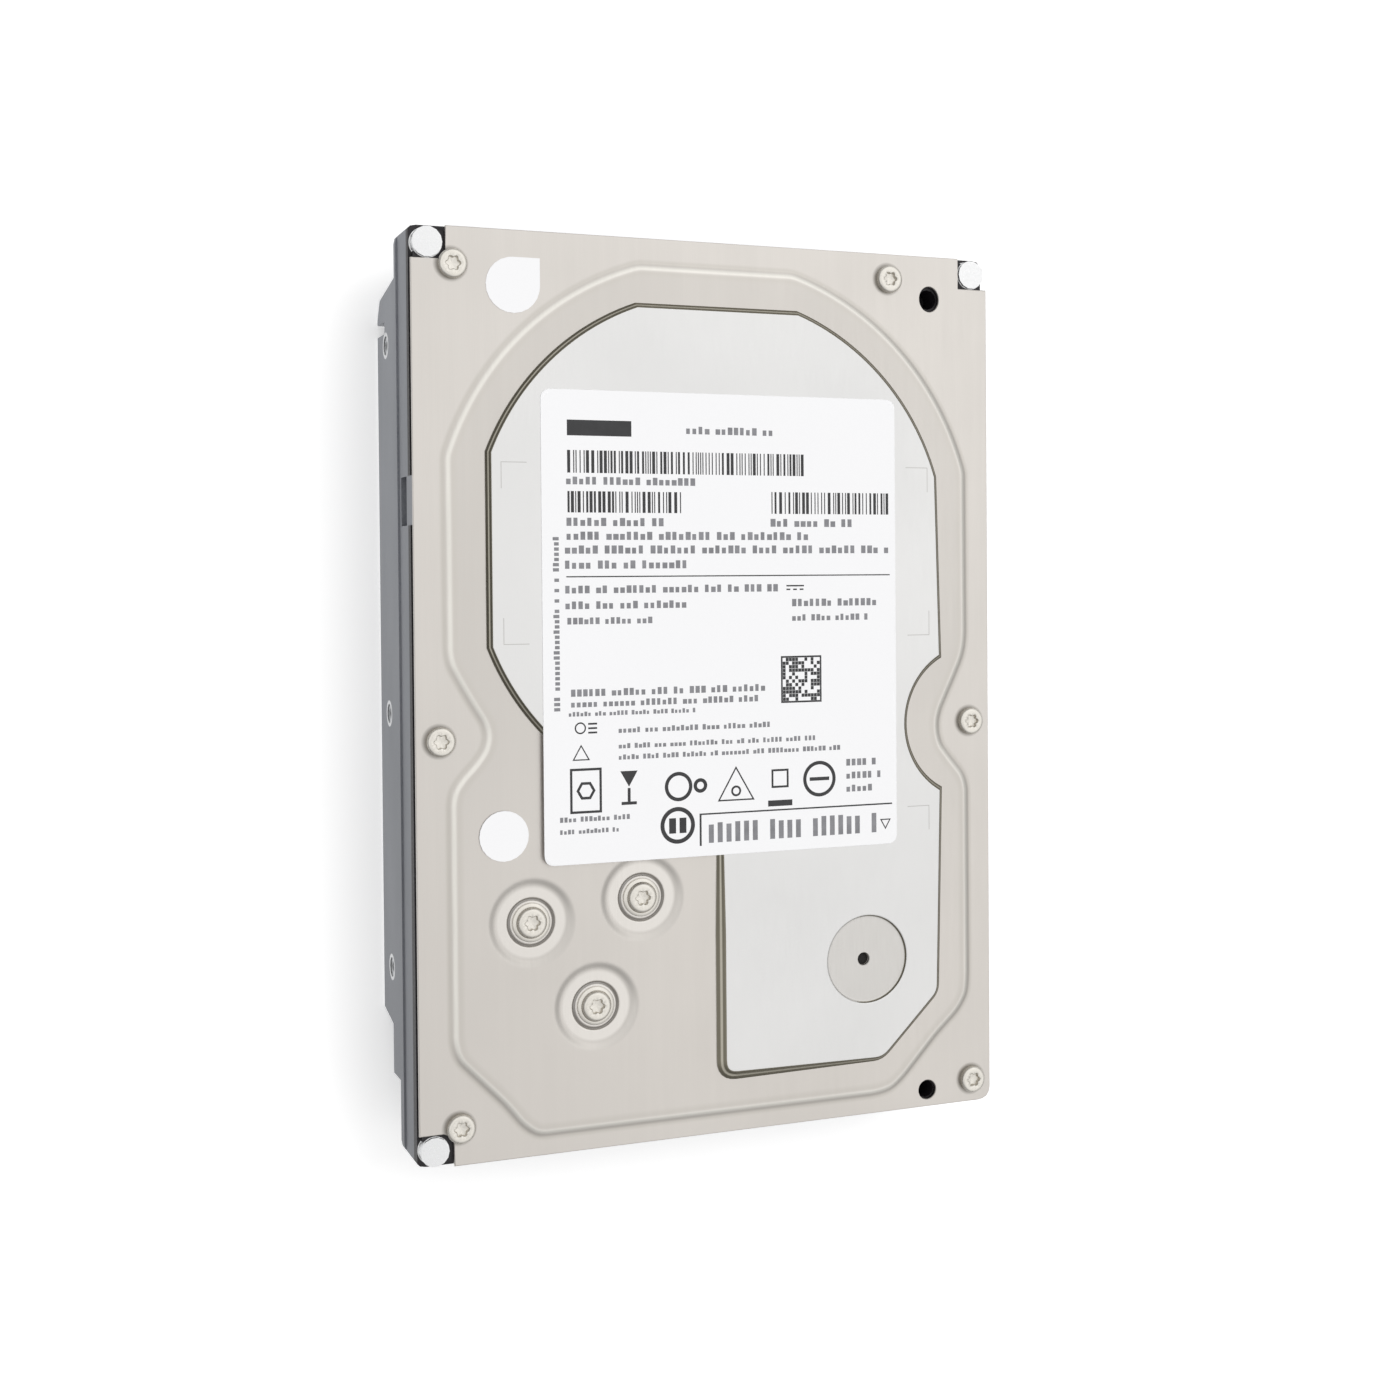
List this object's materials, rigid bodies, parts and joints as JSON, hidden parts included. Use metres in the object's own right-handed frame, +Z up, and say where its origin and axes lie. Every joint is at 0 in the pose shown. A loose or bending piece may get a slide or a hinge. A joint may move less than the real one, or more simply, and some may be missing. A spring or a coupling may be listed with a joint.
{
  "type": "hard disk drive",
  "caption": "Flat rectangular disk drive: cast tub, stamped screwed cover with bonded plate and blank label, disks on a spindle motor, swinging head arm, circuit board and rear connector.",
  "frame": {"origin": "middle of the rectangular footprint, on the bottom of the side rails", "axes": "+Z up out of the cover, +Y away from the connector end, +X to the right looking down on the cover"},
  "size_m": [0.1016, 0.147, 0.0261],
  "materials": {
    "cast_aluminium": "die cast, grey, slightly grainy",
    "rubber_seal": "matt black",
    "cover_steel": "warm satin, fine vertical grain",
    "plate_steel": "bright satin",
    "label_paper": "white printed film",
    "screw_steel": "bright plated",
    "filter_cloth": "white felt",
    "carbon_cloth": "dark carbon cloth",
    "board_green": "green solder mask",
    "black_plastic": "moulded black",
    "bright_nickel": "nickel plated",
    "dark_steel": "dark laminated steel",
    "copper_wire": "enamelled copper wire",
    "plain_steel": "satin stainless",
    "ivory_plastic": "moulded ivory",
    "amber_film": "amber polyimide",
    "machined_aluminium": "machined",
    "disk_mirror": "mirror polished"
  },
  "bodies": {
    "housing": {"base_casting": "cast_aluminium", "cover_gasket": "rubber_seal", "top_cover": "cover_steel", "damping_plate": "plate_steel", "product_label": "label_paper", "seal_sticker_round": "label_paper", "seal_sticker_corner": "label_paper", "cover_screw_1": "screw_steel", "cover_screw_2": "screw_steel", "cover_screw_3": "screw_steel", "cover_screw_4": "screw_steel", "cover_screw_5": "screw_steel", "cover_screw_6": "screw_steel", "pivot_screw": "screw_steel", "yoke_screw_1": "screw_steel", "yoke_screw_2": "screw_steel", "breather_filter": "carbon_cloth", "recirculation_filter": "filter_cloth", "circuit_board": "board_green", "controller_chip": "black_plastic", "board_screw_1": "screw_steel", "board_screw_2": "screw_steel", "board_screw_3": "screw_steel", "board_screw_4": "screw_steel", "interface_connector": "black_plastic", "bearing_sleeve": "bright_nickel", "stator_core": "dark_steel", "stator_windings": "copper_wire", "pivot_shaft": "plain_steel", "yoke_plate_bottom": "bright_nickel", "yoke_plate_top": "bright_nickel", "magnet_bottom": "bright_nickel", "magnet_top": "bright_nickel", "load_ramp": "ivory_plastic", "flex_connector": "black_plastic", "flex_cable": "amber_film"},
    "rotor": {"spindle_shaft": "plain_steel", "rotor_hub": "machined_aluminium", "rotor_magnet": "dark_steel", "disk_1": "disk_mirror", "disk_2": "disk_mirror", "disk_3": "disk_mirror", "disk_4": "disk_mirror", "disk_5": "disk_mirror", "disk_spacer_1": "plain_steel", "disk_spacer_2": "plain_steel", "disk_spacer_3": "plain_steel", "disk_spacer_4": "plain_steel", "disk_clamp": "plain_steel", "clamp_screw": "screw_steel"},
    "actuator": {"actuator_carriage": "machined_aluminium", "pivot_bearing": "plain_steel", "voice_coil": "copper_wire", "head_suspension_1": "plain_steel", "head_suspension_2": "plain_steel", "head_suspension_3": "plain_steel", "head_suspension_4": "plain_steel", "head_suspension_5": "plain_steel", "head_suspension_6": "plain_steel"},
    "latch": {"actuator_latch": "black_plastic"}
  },
  "joints": [
    {"name": "spindle_spin", "type": "hinge", "parent": "housing", "child": "rotor", "pos_m": [0, 0.023, 0.012], "axis": [0, 0, 1], "continuous": true},
    {"name": "head_arm_swing", "type": "hinge", "parent": "housing", "child": "actuator", "pos_m": [-0.0139, -0.0333, 0.0159], "axis": [0, 0, 1], "range_deg": [0, 33], "deforming": ["flex_cable"]},
    {"name": "latch_swing", "type": "hinge", "parent": "housing", "child": "latch", "pos_m": [-0.0392, -0.05605, 0.0159], "axis": [0, 0, 1], "range_deg": [-27, 0]}
  ]
}
